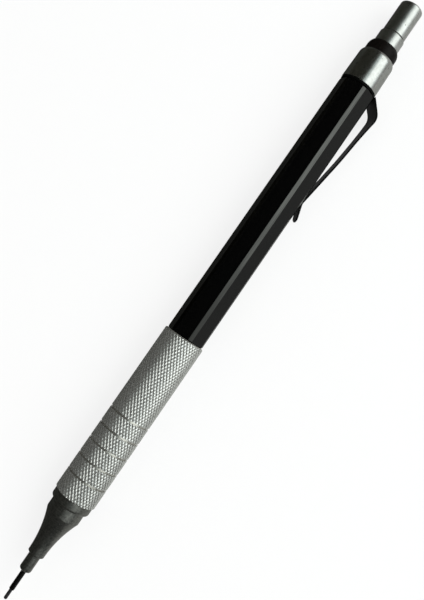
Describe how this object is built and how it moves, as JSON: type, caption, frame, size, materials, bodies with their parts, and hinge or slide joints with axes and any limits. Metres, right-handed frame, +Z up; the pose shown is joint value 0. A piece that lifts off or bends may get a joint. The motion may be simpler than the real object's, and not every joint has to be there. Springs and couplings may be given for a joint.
{
  "type": "mechanical pencil",
  "caption": "Drafting mechanical pencil: knurled metal grip, slim guide sleeve, hexagonal barrel, pocket clip and a push button that covers an eraser; the button opens a lead clutch.",
  "frame": {"origin": "mouth of the guide sleeve, on the pencil axis", "axes": "+X along the axis from the sleeve to the button, +Z up as the pencil lies on a table on its grip and clip"},
  "size_m": [0.1438, 0.0116, 0.0088],
  "materials": {
    "graphite": "polymer graphite, dull",
    "sleeve_steel": "darkened, drawn tube",
    "gunmetal": "gunmetal grey, satin turned",
    "grip_steel": "diamond knurled, satin",
    "barrel_black": "fine satin grain",
    "clip_black": "semi-gloss black",
    "turned_aluminium": "fine turned, bright",
    "guide_black": "smooth black",
    "brass": "machined",
    "spring_steel": "drawn wire",
    "tube_plastic": "natural moulded",
    "retainer_rubber": "moulded",
    "eraser_rubber": "matt white"
  },
  "bodies": {
    "pencil_body": {"tip_cone": "gunmetal", "guide_sleeve": "sleeve_steel", "lead_retainer": "retainer_rubber", "clutch_case": "brass", "return_spring": "spring_steel", "thread_bush": "brass", "grip_sleeve": "grip_steel", "barrel": "barrel_black", "clip_ring": "clip_black", "ferrule": "turned_aluminium", "guide_ring": "guide_black"},
    "push_rod": {"collet_stem": "brass", "lead_tube": "tube_plastic", "spare_leads": "graphite", "eraser_holder": "turned_aluminium", "eraser": "eraser_rubber"},
    "lead": {"lead": "graphite"},
    "clutch_ring": {"clutch_ring": "brass"},
    "jaw_1": {"collet_jaw_1": "brass"},
    "jaw_2": {"collet_jaw_2": "brass"},
    "jaw_3": {"collet_jaw_3": "brass"},
    "button_cap": {"button_cap": "turned_aluminium"},
    "clip_arm": {"clip_arm": "clip_black"}
  },
  "joints": [
    {"name": "button_press", "type": "slide", "parent": "pencil_body", "child": "push_rod", "axis": [-1, 0, 0], "range_m": [0, 0.0035], "stiffness_N_per_m": 600, "springref_m": -0.004, "deforming": ["return_spring"]},
    {"name": "clutch_ring_slide", "type": "slide", "parent": "pencil_body", "child": "clutch_ring", "axis": [-1, 0, 0], "range_m": [0, 0.000875]},
    {"name": "lead_feed", "type": "slide", "parent": "pencil_body", "child": "lead", "axis": [-1, 0, 0], "range_m": [-0.0021, 0.004]},
    {"name": "cap_pull", "type": "slide", "parent": "push_rod", "child": "button_cap", "axis": [1, 0, 0], "range_m": [0, 0.00635]},
    {"name": "clip_flex", "type": "hinge", "parent": "pencil_body", "child": "clip_arm", "pos_m": [0.12054, -0.00357, -0.00134], "axis": [0, -0.3511, 0.9363], "range_deg": [0, 4], "stiffness_Nm_per_rad": 2},
    {"name": "jaw_1_open", "type": "hinge", "parent": "push_rod", "child": "jaw_1", "pos_m": [0.027, 0, 0.001], "axis": [0, 1, 0], "range_deg": [0, 1.2]},
    {"name": "jaw_2_open", "type": "hinge", "parent": "push_rod", "child": "jaw_2", "pos_m": [0.027, -0.00087, -0.0005], "axis": [0, -0.5, 0.866], "range_deg": [0, 1.2]},
    {"name": "jaw_3_open", "type": "hinge", "parent": "push_rod", "child": "jaw_3", "pos_m": [0.027, 0.00087, -0.0005], "axis": [0, -0.5, -0.866], "range_deg": [0, 1.2]}
  ],
  "couplings": [
    {"joint": "clutch_ring_slide", "follows": "button_press", "ratio": 0.25},
    {"joint": "jaw_1_open", "follows": "button_press", "rad_per_m": 5.9834},
    {"joint": "jaw_2_open", "follows": "button_press", "rad_per_m": 5.9834},
    {"joint": "jaw_3_open", "follows": "button_press", "rad_per_m": 5.9834}
  ]
}
